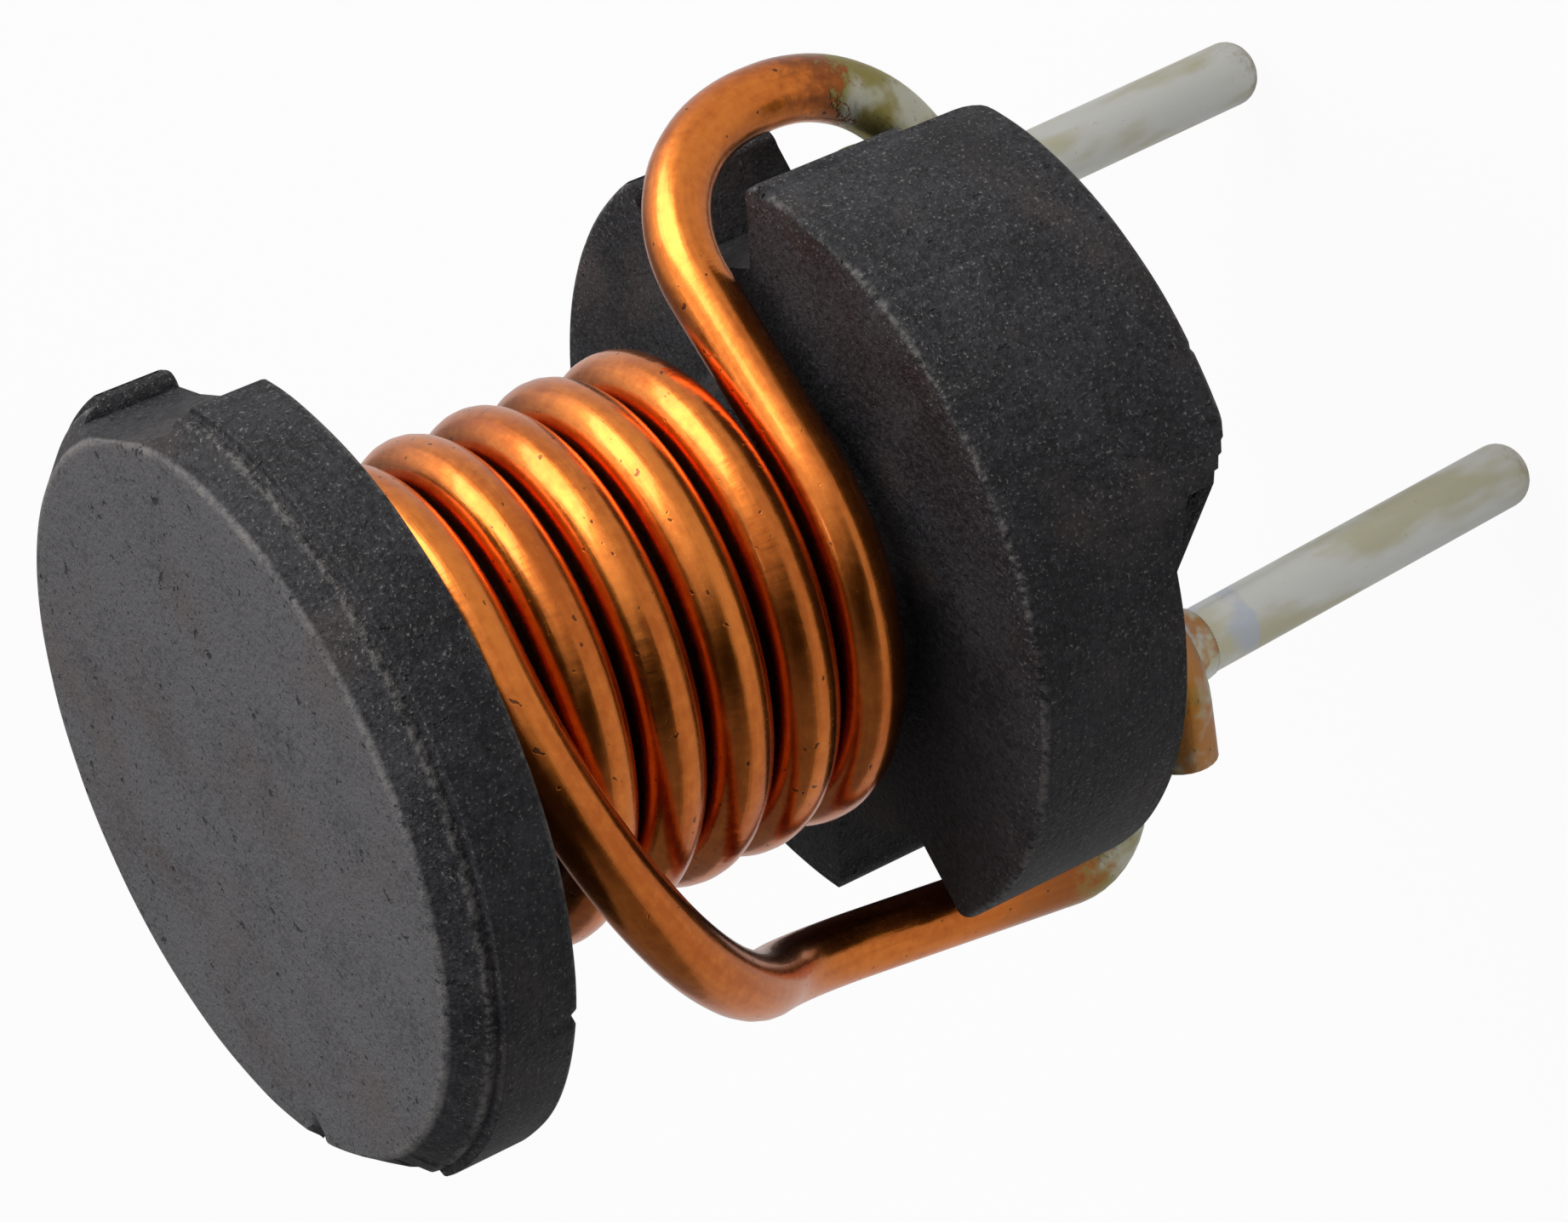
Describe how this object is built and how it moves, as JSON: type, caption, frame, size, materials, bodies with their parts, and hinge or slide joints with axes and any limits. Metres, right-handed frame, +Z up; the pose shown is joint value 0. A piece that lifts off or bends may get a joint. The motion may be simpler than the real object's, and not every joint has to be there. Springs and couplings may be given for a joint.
{
  "type": "drum core inductor",
  "caption": "Radial drum core inductor: a black ferrite bobbin with one layer of heavy enamelled copper wire and straight tinned leads.",
  "frame": {"origin": "midway between the two leads' axes, on the top face of the board the part stands on", "axes": "+Z up the drum's axis, from the board to the plain end; X along the line of the two leads; Y completes the right-handed frame"},
  "size_m": [0.0077, 0.0074, 0.0133],
  "materials": {
    "ferrite": "fired and ground ferrite, matt charcoal grey with fine grain",
    "enamelled_copper": null,
    "tinned_lead": "satin hot-tinned wire",
    "solder": "satin tin solder with flux stains"
  },
  "bodies": {
    "root": {"drum_core": "ferrite", "winding": "enamelled_copper", "pin_1": "tinned_lead", "pin_2": "tinned_lead", "solder_1": "solder", "solder_2": "solder"}
  },
  "joints": []
}
